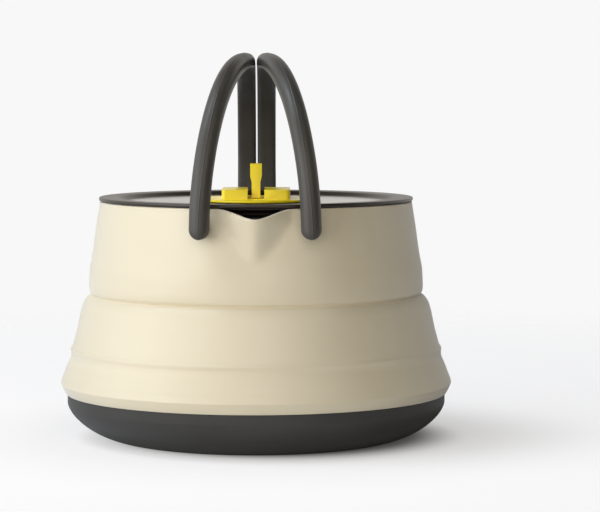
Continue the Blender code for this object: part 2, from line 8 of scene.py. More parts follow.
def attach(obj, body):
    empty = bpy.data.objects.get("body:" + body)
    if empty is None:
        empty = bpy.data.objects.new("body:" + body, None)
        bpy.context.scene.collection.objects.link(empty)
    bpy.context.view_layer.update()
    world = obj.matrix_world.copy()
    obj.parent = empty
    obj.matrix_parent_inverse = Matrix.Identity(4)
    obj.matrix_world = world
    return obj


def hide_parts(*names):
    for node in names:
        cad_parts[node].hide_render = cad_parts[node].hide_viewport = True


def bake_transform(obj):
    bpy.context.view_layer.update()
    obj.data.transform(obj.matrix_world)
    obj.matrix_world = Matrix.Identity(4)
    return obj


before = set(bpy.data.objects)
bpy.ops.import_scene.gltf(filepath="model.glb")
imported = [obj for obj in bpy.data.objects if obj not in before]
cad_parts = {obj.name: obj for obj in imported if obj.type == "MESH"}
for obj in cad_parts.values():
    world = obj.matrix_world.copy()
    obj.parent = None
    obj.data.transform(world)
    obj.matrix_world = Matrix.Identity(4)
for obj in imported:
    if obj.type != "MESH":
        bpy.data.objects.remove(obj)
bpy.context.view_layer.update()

# Stage. A plain pale floor that fades into a white room. The camera stands a metre in front of the
# kettle, a little above its lid, with a long lens. Three large soft lights stand to the left and a
# warmer one in front.

camera_place = (0.0055, -1.0489, 0.1473)
camera_down_degrees = 4.098
camera_right_degrees = 0.655
lens_mm = 158.09
paper_white = 0.939
room_fill = 0.01
room_dark = 0.05
paper_top = 0.42
paper_top_soft = 0.33
room_back_start = -0.30
room_back_end = 0.20
floor_radius = 3.0
floor_sides = 64
floor_fade_start = 0.28
floor_fade_end = 0.62
floor_colour = (0.90, 0.90, 0.90, 1)
floor_seen_colour = (0.53, 0.50, 0.48, 1)
# Painted contact shadow on the floor: its middle, a little right of the base, and its edges.
painted_shade_middle = (0.010, 0.002, 0)
painted_shade_edge = 0.050
painted_shade_end = 0.076
painted_shade_glow_share = 0.10
# Within these distances of the kettle the floor's glow is weaker, a painted shade.
shade_reach = 0.080
shade_end = 0.150
paper_glow_near = 0.555
paper_glow = 0.635
plain_white = (1, 1, 1, 1)
warm_white = (1.0, 0.960, 0.900, 1)
daylight = (0.985, 1.0, 1.020)
skylight = (0.90, 1.0, 1.13)
lamplight = (1.0, 0.955, 0.870)
light_aim = (0, 0, 0.06)

bpy.ops.object.select_all(action="DESELECT")
camera_turn = (math.radians(90 - camera_down_degrees), 0, -math.radians(camera_right_degrees))
bpy.ops.object.camera_add(location=camera_place, rotation=camera_turn)
camera = bpy.context.object
camera.data.lens = lens_mm
bpy.context.scene.camera = camera
bpy.context.scene.view_settings.view_transform = "Standard"


class Signal:
    """One output of a node; sums and products with it add Math nodes."""

    def __init__(self, maker, socket):
        self.maker = maker
        self.socket = socket

    def maths(self, operation, first, second):
        return self.maker.add("ShaderNodeMath", {"operation": operation}, {0: first, 1: second})

    def __add__(self, other):
        return self.maths("ADD", self, other)

    def __sub__(self, other):
        return self.maths("SUBTRACT", self, other)

    def __rsub__(self, other):
        return self.maths("SUBTRACT", other, self)

    def __mul__(self, other):
        return self.maths("MULTIPLY", self, other)

    __radd__ = __add__
    __rmul__ = __mul__


class Nodes:
    """The node tree of a material or of the room."""

    def __init__(self, tree):
        self.tree = tree

    def add(self, kind, settings=None, inputs=None, output=0):
        """Adds a node: its settings first, then the values or links of its sockets."""
        node = self.tree.nodes.new(kind)
        for name, value in (settings or {}).items():
            setattr(node, name, value)
        for name, value in (inputs or {}).items():
            self.feed(node.inputs[name], value)
        return Signal(self, node.outputs[output])

    def feed(self, socket, value):
        """Links a signal to a socket, or sets the socket's own value."""
        if isinstance(value, Signal):
            self.tree.links.new(value.socket, socket)
        else:
            socket.default_value = value

    def place(self):
        """Place on the piece, in metres."""
        return self.add("ShaderNodeTexCoord", output="Object")

    def noise(self, per_metre, detail=2, stretch=(1, 1, 1)):
        """Soft noise with a number of lumps to a metre; stretch packs it along an axis."""
        packing = {"Vector": self.place(), "Scale": stretch}
        packed = self.add("ShaderNodeMapping", {"vector_type": "POINT"}, packing)
        lumps = {"Vector": packed, "Scale": per_metre, "Detail": detail}
        return self.add("ShaderNodeTexNoise", inputs=lumps)

    def between(self, signal, low, high, new_low=0, new_high=1):
        """Maps a signal's range onto another one, held at the ends and eased."""
        settings = {"interpolation_type": "SMOOTHSTEP"}
        values = {0: signal, 1: low, 2: high, 3: new_low, 4: new_high}
        return self.add("ShaderNodeMapRange", settings, values)

    def distance(self, place, start=(0, 0, 0)):
        """How far a place is from a start, in metres."""
        ends = {0: place, 1: start}
        return self.add("ShaderNodeVectorMath", {"operation": "DISTANCE"}, ends, output="Value")

    def blend(self, share, first, second):
        """Blends two colours."""
        settings = {"data_type": "RGBA", "blend_type": "MIX"}
        return self.add("ShaderNodeMix", settings, {0: share, 6: first, 7: second}, output=2)

    def bump(self, height, strength, depth):
        """A normal from a height; the depth is in metres."""
        relief = {"Strength": strength, "Distance": depth, "Height": height}
        return self.add("ShaderNodeBump", inputs=relief)


world = bpy.data.worlds.new("white_room")
world.use_nodes = True
bpy.context.scene.world = world
room = Nodes(world.node_tree)
direction = room.add("ShaderNodeTexCoord", output="Generated")
away = room.add("ShaderNodeSeparateXYZ", inputs={0: direction}, output="Y")
up = room.add("ShaderNodeSeparateXYZ", inputs={0: direction}, output="Z")
low_down = room.between(up, paper_top, paper_top + paper_top_soft, 1, 0)
behind = room.between(away, room_back_start, room_back_end)
paper_seen = room_dark + (paper_white - room_dark) * low_down * behind
seen_straight = room.add("ShaderNodeLightPath", output="Is Camera Ray")
seen_through = room.add("ShaderNodeLightPath", output="Is Transmission Ray")
seen_in_gloss = room.add("ShaderNodeLightPath", output="Is Glossy Ray")
fill_inputs = {"Color": plain_white, "Strength": room_fill}
fill_light = room.add("ShaderNodeBackground", inputs=fill_inputs)
gloss_inputs = {"Color": warm_white, "Strength": paper_seen}
gloss_view = room.add("ShaderNodeBackground", inputs=gloss_inputs)
paper_inputs = {"Color": plain_white, "Strength": paper_white}
paper_view = room.add("ShaderNodeBackground", inputs=paper_inputs)
lit = room.add("ShaderNodeMixShader", inputs={0: seen_in_gloss, 1: fill_light, 2: gloss_view})
seen = seen_straight.maths("MAXIMUM", seen_straight, seen_through)
whole_room = room.add("ShaderNodeMixShader", inputs={0: seen, 1: lit, 2: paper_view})
room.feed(world.node_tree.nodes["World Output"].inputs["Surface"], whole_room)

bpy.ops.mesh.primitive_circle_add(
    vertices=floor_sides, radius=floor_radius, fill_type="NGON"
)
floor = bpy.context.object
floor.name = "floor"
floor_material = bpy.data.materials.new("floor_paper")
floor_material.use_nodes = True
paper = Nodes(floor_material.node_tree)
from_kettle = paper.distance(paper.place())
faded = paper.between(from_kettle, floor_fade_start, floor_fade_end)

# For the camera the paper also glows, but less near the base: a painted shade round it.
matt = paper.add("ShaderNodeBsdfDiffuse", inputs={"Color": floor_colour})
matt_seen = paper.add("ShaderNodeBsdfDiffuse", inputs={"Color": floor_seen_colour})
# Painted contact shadow: the glow falls to a tenth round a middle a little right of the base.
from_painted_shade_middle = paper.distance(paper.place(), painted_shade_middle)
# Painted shade: the glow is also weaker nearer the kettle.
glow_with_painted_shade_near = paper.between(from_kettle, shade_reach, shade_end, paper_glow_near, paper_glow)
glow_left_by_painted_shade = paper.between(from_painted_shade_middle, painted_shade_edge, painted_shade_end, painted_shade_glow_share, 1)
glow = paper.add("ShaderNodeEmission", inputs={"Strength": glow_with_painted_shade_near * glow_left_by_painted_shade})
bright = paper.add("ShaderNodeAddShader", inputs={0: matt_seen, 1: glow})
seen_straight = paper.add("ShaderNodeLightPath", output="Is Camera Ray")
paper_sides = {0: seen_straight, 1: matt, 2: bright}
paper_light = paper.add("ShaderNodeMixShader", inputs=paper_sides)
clear = paper.add("ShaderNodeBsdfTransparent")
floor_view = paper.add("ShaderNodeMixShader", inputs={0: faded, 1: paper_light, 2: clear})
paper.feed(floor_material.node_tree.nodes["Material Output"].inputs["Surface"], floor_view)
floor.data.materials.append(floor_material)


def add_soft_light(name, distance, from_right_degrees, height_degrees, size, watts, colour):
    """A square soft light that faces the kettle; its side is told from the camera's."""
    side = math.radians(from_right_degrees)
    rise = math.radians(height_degrees)
    level = math.cos(rise)
    direction = Vector((math.sin(side) * level, -math.cos(side) * level, math.sin(rise)))
    turn = direction.to_track_quat("Z", "Y").to_euler()
    place = Vector(light_aim) + distance * direction
    bpy.ops.object.light_add(type="AREA", location=place, rotation=turn)
    light = bpy.context.object
    light.name = name
    light.data.shape = "SQUARE"
    light.data.size = size
    light.data.energy = watts
    light.data.color = colour
    light.visible_camera = False


add_soft_light(
    "window_light",
    distance=4.0,
    from_right_degrees=-47,
    height_degrees=7,
    size=3.0,
    watts=86,
    colour=daylight,
)
add_soft_light(
    "left_light",
    distance=4.0,
    from_right_degrees=-80,
    height_degrees=15,
    size=3.0,
    watts=45,
    colour=skylight,
)
add_soft_light(
    "side_light",
    distance=3.0,
    from_right_degrees=-85,
    height_degrees=60,
    size=1.6,
    watts=40,
    colour=skylight,
)
add_soft_light(
    "front_light",
    distance=4.0,
    from_right_degrees=0,
    height_degrees=20,
    size=3.0,
    watts=54,
    colour=lamplight,
)

# Base pan. A pressed aluminium pan, hard anodised to a satin dark grey, with a rounded corner and a
# turned-out lip. The silicone wall is moulded round the lip, so that only the pan's side shows.

pan_radius = 0.0753
pan_flat_radius = 0.0540
pan_corner_height = 0.0145
pan_corner_power = 1.6
pan_corner_steps = 22
pan_sheet = 0.0012
pan_lip_radius = 0.0764
pan_lip_top = 0.0220
pan_lip_round = 0.0004
pan_sides = 192
pan_smooth_degrees = 35
pan_colour = (0.051, 0.048, 0.044, 1)
pan_colour_dark = (0.047, 0.044, 0.040, 1)
pan_colour_light = (0.055, 0.052, 0.048, 1)
pan_roughness = 0.48
pan_roughness_low = 0.44
pan_roughness_high = 0.52
cloud_per_metre = 34
cloud_detail = 3
cloud_low = 0.25
cloud_high = 0.75
pores_per_metre = 5200
pores_detail = 1
pores_strength = 0.35
pores_depth = 0.00003
noise_low = 0.3
noise_high = 0.7
weld = 0.000001


def close_mesh(name):
    """Turns the faces of the mesh in edit mode outwards, leaves edit mode and names the piece."""
    bpy.ops.mesh.select_all(action="SELECT")
    bpy.ops.mesh.normals_make_consistent(inside=False)
    bpy.ops.object.mode_set(mode="OBJECT")
    piece = bpy.context.object
    piece.name = name
    piece.data.name = name
    return piece


def turn_outline(name, outline, sides, capped=True):
    """Extrudes a ring about the kettle's axis along an outline of radii and heights."""
    (radius, height), *levels = outline
    bpy.ops.object.select_all(action="DESELECT")
    bpy.ops.mesh.primitive_circle_add(
        vertices=sides,
        radius=radius,
        location=(0, 0, height),
        fill_type="NGON" if capped else "NOTHING",
        enter_editmode=True,
    )
    for next_radius, next_height in levels:
        lift = {"value": (0, 0, next_height - height)}
        bpy.ops.mesh.extrude_region_move(TRANSFORM_OT_translate=lift)
        ratio = next_radius / radius
        bpy.ops.transform.resize(value=(ratio, ratio, 1), center_override=(0, 0, next_height))
        radius, height = next_radius, next_height
    bpy.ops.mesh.select_all(action="SELECT")
    bpy.ops.mesh.remove_doubles(threshold=weld)
    piece = close_mesh(name)
    bpy.ops.object.transform_apply(location=True, rotation=True, scale=True)
    return piece


def round_corner(outline, corner, radius, steps=4):
    """Replaces an outline's point by a small arc."""
    before, point, after = (Vector(place) for place in outline[corner - 1:corner + 2])
    back = (before - point).normalized()
    on = (after - point).normalized()
    reach = min(radius, (before - point).length / 2, (after - point).length / 2)
    start, end = point + reach * back, point + reach * on
    arc = []
    for step in range(steps + 1):
        share = step / steps
        arc.append(tuple(start.lerp(point, share).lerp(point.lerp(end, share), share)))
    return outline[:corner] + arc + outline[corner + 1:]


def round_corners(outline, radius, corners):
    """Rounds several of an outline's points, counted from its start."""
    for corner in sorted(corners, reverse=True):
        outline = round_corner(outline, corner, radius)
    return outline


def dress(piece, name, colour, roughness, metallic=0):
    """Gives a piece a new material in its first slot, and returns its nodes and shader."""
    material = bpy.data.materials.new(name)
    material.use_nodes = True
    shader = material.node_tree.nodes["Principled BSDF"]
    shader.inputs["Base Color"].default_value = colour
    shader.inputs["Roughness"].default_value = roughness
    shader.inputs["Metallic"].default_value = metallic
    if piece.data.materials:
        piece.data.materials[0] = material
    else:
        piece.data.materials.append(material)
    return Nodes(material.node_tree), shader


def pan_corner(radius, bottom):
    """The pan's rounded bottom corner, from its flat up to its side."""
    points = []
    for step in range(pan_corner_steps + 1):
        angle = math.pi / 2 * step / pan_corner_steps
        out = math.sin(angle) ** (2 / pan_corner_power)
        rise = 1 - math.cos(angle) ** (2 / pan_corner_power)
        place = pan_flat_radius + out * (radius - pan_flat_radius)
        points.append((place, bottom + rise * (pan_corner_height - bottom)))
    return points


pan_lip = [
    (pan_radius, pan_lip_top - pan_sheet),
    (pan_lip_radius, pan_lip_top - pan_sheet),
    (pan_lip_radius, pan_lip_top),
    (pan_radius - pan_sheet, pan_lip_top),
]
pan_outline = pan_corner(pan_radius, 0)
first_lip_point = len(pan_outline)
pan_outline += pan_lip + pan_corner(pan_radius - pan_sheet, pan_sheet)[::-1]
lip_corners = [first_lip_point + 1, first_lip_point + 2]
pan_outline = round_corners(pan_outline, pan_lip_round, lip_corners)
pan = turn_outline("base_shell", pan_outline, pan_sides)
bpy.ops.object.shade_smooth_by_angle(angle=math.radians(pan_smooth_degrees))
coat, coat_shader = dress(
    pan, "hard_anodised_aluminium", pan_colour, pan_roughness
)
cloud = coat.noise(cloud_per_metre, cloud_detail)
pores = coat.noise(pores_per_metre, pores_detail)
cloud_share = coat.between(cloud, noise_low, noise_high)
coat_colour = coat.blend(cloud_share, pan_colour_dark, pan_colour_light)
coat_roughness = coat.between(
    cloud, cloud_low, cloud_high, pan_roughness_low, pan_roughness_high
)
coat.feed(coat_shader.inputs["Base Color"], coat_colour)
coat.feed(coat_shader.inputs["Roughness"], coat_roughness)
coat.feed(coat_shader.inputs["Normal"], coat.bump(pores, pores_strength, pores_depth))
coat_shader.inputs["Specular IOR Level"].default_value = 0.26
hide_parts("base_pan")
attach(pan, "base")

# Silicone wall. One moulding in matte cream silicone: a hem that grips the pan's lip, a skirt, a
# cone that folds over when the kettle is pushed flat, and an upright tier with the pouring spout.

wall = 0.0022
hem_radius, hem_z = 0.0759, 0.0182
skirt_radius, skirt_z = 0.0778, 0.0225
fold_radius, fold_z = 0.0739, 0.0343
crease_z = 0.0565
web_top_radius, web_top_z = 0.0668, 0.0566
groove_radius, groove_z = 0.0653, 0.0575
tier_foot_radius, tier_foot_z = 0.0662, 0.0585
belly_radius, belly_z = 0.0665, 0.0610
shoulder_radius, shoulder_z = 0.0664, 0.0635
rim_radius, rim_z = 0.0620, 0.0942
fold_line_depth = 0.00016
fold_line_half = 0.0016
hem_shares = ((0.0, 0.0), (0.36, 0.26), (0.68, 0.56), (0.93, 0.84))
skirt_shares = ((0.0, 0.0), (0.15, 0.20), (0.31, 0.34), (0.56, 0.61), (0.87, 0.88))
web_shares = (
    (0.0, 0.0),
    (0.13, 0.08),
    (0.38, 0.39),
    (0.54, 0.66),
    (0.63, 0.78),
    (0.72, 0.875),
    (0.86, 0.955),
)
tier_shares = (
    (0.0, 0.0),
    (0.07, 0.15),
    (0.27, 0.30),
    (0.48, 0.50),
    (0.67, 0.70),
    (0.84, 0.85),
    (1.0, 1.0),
)
wall_sides = 320
wall_smooth_degrees = 60
curve_steps = 4
rim_round = 0.0004
inner_lip = 0.0014
lip_gap = 0.0003
spout_reach = 0.0080
spout_half = 0.0142
spout_dip = 0.0036
lip_half = 0.0154
lip_power = 0.8
spout_foot_z = 0.0740
spout_foot_half = 0.0030
nose_softness = 0.22
flank_power = 1.25
reach_power = 1.1
cream_main = (0.745, 0.643, 0.450, 1)
cream_dark = (0.732, 0.630, 0.437, 1)
cream_light = (0.758, 0.656, 0.463, 1)
cream_roughness = 0.50
cream_roughness_low = 0.46
cream_roughness_high = 0.54
milky_per_metre = 16
handled_per_metre = 55
handled_detail = 3
powder_per_metre = 3800
powder_strength = 0.25
powder_depth = 0.00003


def spread(shares, lower, upper):
    """Points of an outline between two places, each a radius and a height."""
    points = []
    for out, rise in shares:
        radius = lower[0] + out * (upper[0] - lower[0])
        points.append((radius, lower[1] + rise * (upper[1] - lower[1])))
    return points


def flowing(points, steps):
    """A smooth line through points."""
    padded = [points[0], *points, points[-1]]
    line = []
    for corners in zip(padded, padded[1:], padded[2:], padded[3:]):
        for step in range(steps):
            t = step / steps
            place = []
            for before, start, end, after in zip(*corners):
                bend = 2 * before - 5 * start + 4 * end - after
                twist = 3 * start - before - 3 * end + after
                place.append((2 * start + (end - before) * t + bend * t ** 2 + twist * t ** 3) / 2)
            line.append(tuple(place))
    line.append(points[-1])
    return line


def spout_stand(across, height):
    """How far the spout stands out of the round wall."""
    rise = (height - spout_foot_z) / (rim_z - spout_dip - spout_foot_z)
    if rise <= 0:
        return 0
    rise = min(rise, 1)
    half = spout_foot_half + (spout_half - spout_foot_half) * rise
    rounded = math.hypot(across / half, nose_softness) - nose_softness
    full = math.hypot(1, nose_softness) - nose_softness
    flank = max(0, 1 - rounded / full) ** flank_power
    return spout_reach * rise ** reach_power * flank


def lip_drop(across):
    """How far the pouring lip dips below the rim."""
    offset = abs(across) / lip_half
    if offset >= 1:
        return 0
    return spout_dip * math.cos(math.pi / 2 * offset ** lip_power) ** 2


outside = spread(hem_shares, (hem_radius, hem_z), (skirt_radius, skirt_z))
outside += spread(skirt_shares, (skirt_radius, skirt_z), (fold_radius, fold_z - fold_line_half))
outside += [(fold_radius, fold_z - fold_line_half)]
outside += [(fold_radius - fold_line_depth, fold_z)]
outside += spread(web_shares, (fold_radius, fold_z + fold_line_half), (web_top_radius, web_top_z))
outside += [(web_top_radius, web_top_z), (groove_radius, groove_z)]
outside += [(tier_foot_radius, tier_foot_z), (belly_radius, belly_z)]
outside += spread(tier_shares, (shoulder_radius, shoulder_z), (rim_radius, rim_z))
outside = flowing(outside, curve_steps)
skirt_top = [(radius - wall, height) for radius, height in outside if height > skirt_z + wall]
lip_inside = pan_radius - pan_sheet - lip_gap
hem_inside = [
    (lip_inside - inner_lip, skirt_z + inner_lip),
    (lip_inside - inner_lip, hem_z + inner_lip),
    (lip_inside, hem_z + inner_lip / 2),
    (lip_inside, pan_lip_top + lip_gap),
    (pan_lip_radius + lip_gap, pan_lip_top + lip_gap),
    (pan_lip_radius + lip_gap, pan_lip_top - pan_sheet - lip_gap),
    (pan_radius + lip_gap, pan_lip_top - pan_sheet - lip_gap),
    (pan_radius + lip_gap, hem_z),
    (hem_radius, hem_z),
]
top_corner = len(outside) - 1
wall_outline = outside + skirt_top[::-1] + hem_inside
wall_outline = round_corners(wall_outline, rim_round, [top_corner, top_corner + 1])
silicone_wall = turn_outline("silicone_wall", wall_outline, wall_sides, capped=False)
for vert in silicone_wall.data.vertices:
    x, y, z = vert.co
    if z > crease_z:
        radius = math.hypot(x, y)
        across = rim_radius * x / radius if y < 0 else rim_radius
        share = (z - crease_z) / (rim_z - crease_z)
        level = crease_z + share * (rim_z - lip_drop(across) - crease_z)
        out = radius + spout_stand(across, level)
        vert.co = (out * x / radius, out * y / radius, level)
bpy.ops.object.shade_smooth_by_angle(angle=math.radians(wall_smooth_degrees))
cream, cream_shader = dress(
    silicone_wall, "cream_silicone", cream_main, cream_roughness
)
milky = cream.noise(milky_per_metre)
powder = cream.noise(powder_per_metre)
handled = cream.noise(handled_per_metre, handled_detail)
milky_share = cream.between(milky, noise_low, noise_high)
cream_colour = cream.blend(milky_share, cream_dark, cream_light)
handled_roughness = cream.between(
    handled, noise_low, noise_high, cream_roughness_low, cream_roughness_high
)
cream.feed(cream_shader.inputs["Base Color"], cream_colour)
cream.feed(cream_shader.inputs["Roughness"], handled_roughness)
cream.feed(cream_shader.inputs["Normal"], cream.bump(powder, powder_strength, powder_depth))
cream_shader.inputs["Specular IOR Level"].default_value = 0.8
cream_shader.inputs["Sheen Weight"].default_value = 0.6
cream_shader.inputs["Sheen Roughness"].default_value = 0.5
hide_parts("lower_wall", "fold_web", "upper_wall")
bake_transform(silicone_wall)

# Rim collar and lugs. A rigid black nylon ring inside the silicone rim seats the lid, and four
# nylon spacers carry the handle legs clear of the wall. Their moulded skin has a fine grain.

nylon_colour = (0.03, 0.03, 0.028, 1)
nylon_roughness = 0.5
nylon_roughness_low = 0.44
nylon_roughness_high = 0.56
flow_per_metre = 60
nylon_grain_per_metre = 2600
nylon_grain_strength = 0.4
nylon_grain_depth = 0.00004
corners = ("front_left", "front_right", "rear_left", "rear_right")

for name in ["rim_collar"] + [corner + "_lug" for corner in corners]:
    nylon, nylon_shader = dress(
        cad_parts[name], "black_nylon", nylon_colour, nylon_roughness
    )
    grain = nylon.noise(nylon_grain_per_metre)
    flow = nylon.noise(flow_per_metre)
    flow_roughness = nylon.between(
        flow, noise_low, noise_high, nylon_roughness_low, nylon_roughness_high
    )
    nylon_skin = nylon.bump(grain, nylon_grain_strength, nylon_grain_depth)
    nylon.feed(nylon_shader.inputs["Roughness"], flow_roughness)
    nylon.feed(nylon_shader.inputs["Normal"], nylon_skin)

# Bushes, pins, screws and backing plate. Turned and stamped stainless steel, with the fine lines of
# the lathe. The pins are pressed into the legs and turn in the bushes.

steel_colour = (0.56, 0.56, 0.55, 1)
steel_roughness = 0.3
steel_roughness_low = 0.24
steel_roughness_high = 0.38
lathe_lines_per_metre = 900
lathe_lines_stretch = (1, 4, 4)
lathe_lines_strength = 0.2
lathe_lines_depth = 0.00002
steel_nodes = ["knob_backing_plate", "knob_screw_left", "knob_screw_right"]
for corner in corners:
    steel_nodes += [corner + "_bush", corner + "_pivot_pin"]

for name in steel_nodes:
    steel, steel_shader = dress(
        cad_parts[name],
        "stainless_steel",
        steel_colour,
        steel_roughness,
        metallic=1,
    )
    lines = steel.noise(lathe_lines_per_metre, stretch=lathe_lines_stretch)
    lines_roughness = steel.between(
        lines, noise_low, noise_high, steel_roughness_low, steel_roughness_high
    )
    steel_skin = steel.bump(lines, lathe_lines_strength, lathe_lines_depth)
    steel.feed(steel_shader.inputs["Roughness"], lines_roughness)
    steel.feed(steel_shader.inputs["Normal"], steel_skin)

# Handles. Two hoops moulded in satin charcoal nylon, side by side over the lid. Each has a fine
# parting line round its outer face, and legs with rounded ends that turn on pins at front and rear.

pivot_z = 0.0868
front_pivot = Vector((0.0211, -0.067329, pivot_z))
rear_pivot = Vector((0.00415, 0.068858, pivot_z))
hoop_rise = 0.0632
hoop_power = 2.6
hoop_lean_power = 1.6
hoop_width = 0.0077
hoop_thickness = 0.0060
hoop_turn_rise = 0.0200
hoop_steps = 72
nose_steps = 9
nose_end_share = 0.985
nose_power = 0.25
crown_share = 0.62
crown_power = 2.2
belly_power = 4.5
section_steps = 22
parting_half = 0.00022
parting_rise = 0.00010
hoop_smooth_degrees = 40
hoop_colour = (0.056, 0.050, 0.041, 1)
hoop_colour_dark = (0.052, 0.046, 0.037, 1)
hoop_colour_light = (0.060, 0.054, 0.045, 1)
hoop_roughness = 0.45
hoop_roughness_low = 0.42
hoop_roughness_high = 0.50
rubbed_per_metre = 70
rubbed_detail = 3
hoop_grain_per_metre = 3200
hoop_grain_strength = 0.35
hoop_grain_depth = 0.00003


def hoop_section():
    """The hoop's section: crowned outside with the parting line on it, flatter inside."""
    widest = hoop_thickness / 2 - crown_share * hoop_thickness
    points = []
    for step in range(2 * section_steps):
        angle = math.pi * (step + 0.5) / section_steps
        power = crown_power if angle < math.pi else belly_power
        height = crown_share if angle < math.pi else crown_share - 1
        out = math.copysign(abs(math.cos(angle)) ** (2 / power), math.cos(angle))
        rise = abs(math.sin(angle)) ** (2 / power)
        level = widest + rise * height * hoop_thickness
        points.append(Vector((out * hoop_width / 2, level, 0)))
        if step + 1 == section_steps // 2:
            face = hoop_thickness / 2
            points.append(Vector((parting_half, face, 0)))
            points.append(Vector((0, face + parting_rise, 0)))
            points.append(Vector((-parting_half, face, 0)))
    return points


def hoop_place(angle):
    """Centre of the right hoop, from the front pivot over the top to the rear one."""
    middle = (rear_pivot.y + front_pivot.y) / 2
    half_span = (rear_pivot.y - front_pivot.y) / 2
    rise = max(0, math.sin(angle)) ** (2 / hoop_power)
    reach = abs(math.cos(angle)) ** (2 / hoop_power)
    lean = rear_pivot.x
    if angle < math.pi / 2:
        lean_share = math.sqrt(max(0, 1 - rise ** hoop_lean_power))
        lean += (front_pivot.x - rear_pivot.x) * lean_share
    forward = middle - half_span * math.copysign(reach, math.cos(angle))
    return Vector((lean, forward, pivot_z + hoop_rise * rise))


def stand(centre, along, across, width_share=1, thickness_share=1):
    """Matrix that stands the section on the hoop's line."""
    across = (across - across.dot(along) * along).normalized()
    outward = across.cross(along)
    turn = Matrix((across, outward, along)).transposed().to_4x4()
    narrowing = Matrix.Diagonal((width_share, thickness_share, 1, 1))
    return Matrix.Translation(centre) @ turn @ narrowing


def carry(change):
    """Moves what is selected in the edited mesh."""
    mesh = bmesh.from_edit_mesh(bpy.context.edit_object.data)
    chosen = [vert for vert in mesh.verts if vert.select]
    bmesh.ops.transform(mesh, matrix=change, verts=chosen)
    bmesh.update_edit_mesh(bpy.context.edit_object.data)


def sweep(name, section, stands):
    """Extrudes a section from stand to stand."""
    bpy.ops.object.select_all(action="DESELECT")
    bpy.ops.mesh.primitive_circle_add(
        vertices=len(section),
        radius=hoop_width,
        fill_type="NGON",
        enter_editmode=True,
    )
    mesh = bmesh.from_edit_mesh(bpy.context.edit_object.data)
    for vert, point in zip(mesh.verts, section):
        vert.co = stands[0] @ point
    bmesh.update_edit_mesh(bpy.context.edit_object.data)
    for last, following in zip(stands, stands[1:]):
        bpy.ops.mesh.extrude_region_move()
        carry(following @ last.inverted())
    return close_mesh(name)


hinge_line = (rear_pivot - front_pivot).normalized()
level_across = Vector((hinge_line.y, -hinge_line.x, 0))
upward = Vector((0, 0, 1))
sideways = Vector((1, 0, 0))
places = [hoop_place(math.pi * step / hoop_steps) for step in range(hoop_steps + 1)]
places[0].z = pivot_z
places[-1].z = pivot_z
noses = []
for step in range(1, nose_steps + 1):
    angle = math.pi / 2 * nose_end_share * step / nose_steps
    drop = hoop_width / 2 * math.sin(angle) * upward
    noses.append((drop, math.cos(angle), math.cos(angle) ** nose_power))
stands = []
for drop, *shares in reversed(noses):
    stands.append(stand(places[0] - drop, upward, level_across, *shares))
for index, place in enumerate(places):
    before = places[max(index - 1, 0)]
    after = places[min(index + 1, hoop_steps)]
    along = (after - before).normalized()
    if index in (0, hoop_steps):
        along = upward if index == 0 else -upward
    turned_away = min(1, (place.z - pivot_z) / hoop_turn_rise)
    across = level_across.lerp(sideways, turned_away).normalized()
    stands.append(stand(place, along, across))
for drop, *shares in noses:
    stands.append(stand(places[-1] - drop, -upward, level_across, *shares))

right_handle = sweep("handle_hoop_right", hoop_section(), stands)
bpy.ops.object.duplicate()
bpy.ops.transform.mirror(constraint_axis=(True, False, False), center_override=(0, 0, 0))
bpy.ops.object.transform_apply(location=True, rotation=True, scale=True)
bpy.ops.object.mode_set(mode="EDIT")
left_handle = close_mesh("handle_hoop_left")
for hoop, side in ((left_handle, "left"), (right_handle, "right")):
    bpy.ops.object.select_all(action="DESELECT")
    hoop.select_set(True)
    bpy.context.view_layer.objects.active = hoop
    bpy.ops.object.shade_smooth_by_angle(angle=math.radians(hoop_smooth_degrees))
    satin, satin_shader = dress(
        hoop, "charcoal_nylon_" + side, hoop_colour, hoop_roughness
    )
    grain = satin.noise(hoop_grain_per_metre)
    rubbed = satin.noise(rubbed_per_metre, rubbed_detail)
    rubbed_share = satin.between(rubbed, noise_low, noise_high)
    satin_colour = satin.blend(rubbed_share, hoop_colour_dark, hoop_colour_light)
    rubbed_roughness = satin.between(
        rubbed, noise_low, noise_high, hoop_roughness_low, hoop_roughness_high
    )
    satin_skin = satin.bump(grain, hoop_grain_strength, hoop_grain_depth)
    satin.feed(satin_shader.inputs["Base Color"], satin_colour)
    satin.feed(satin_shader.inputs["Roughness"], rubbed_roughness)
    satin.feed(satin_shader.inputs["Normal"], satin_skin)
    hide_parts("handle_" + side)
    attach(hoop, side + "_handle")

# Lid. A shallow polished dish moulded in smoke-tinted clear plastic. Its flange lies on the rim,
# and a skirt below carries the seal. The tint is so deep that it looks almost black.

lid_radius = 0.0624
lid_base_z = 0.0945
lid_top_z = 0.0959
lid_land_radius = 0.0556
lid_land_z = 0.0958
lid_floor_z = 0.0941
lid_floor_edge = 0.0514
lid_slope_shares = (
    (0.0, 0.0),
    (0.18, 0.06),
    (0.40, 0.32),
    (0.62, 0.68),
    (0.84, 0.94),
    (1.0, 1.0),
)
lid_centre_radius = 0.0250
lid_root = 0.0008
lid_root_radius = 0.0567
lid_under_z = 0.0926
lid_skirt_radius = 0.0540
lid_skirt_wall = 0.0018
lid_skirt_foot_z = 0.0896
lid_toe = 0.0010
lid_toe_height = 0.0008
lid_edge_round = 0.0006
lid_sides = 192
lid_smooth_degrees = 35
smoke_main = (0.020, 0.011, 0.004, 1)
smoke_dark = (0.016, 0.008, 0.002, 1)
smoke_light = (0.024, 0.014, 0.006, 1)
lid_roughness = 0.40
lid_roughness_low = 0.36
lid_roughness_high = 0.42
dish_polish = 0.08
level_only = (1, 1, 0)
wiped_per_metre = 45
wiped_detail = 4
wiped_high = 0.75
swirl_per_metre = 2400
swirl_detail = 1
swirl_strength = 0.08
swirl_depth = 0.00002

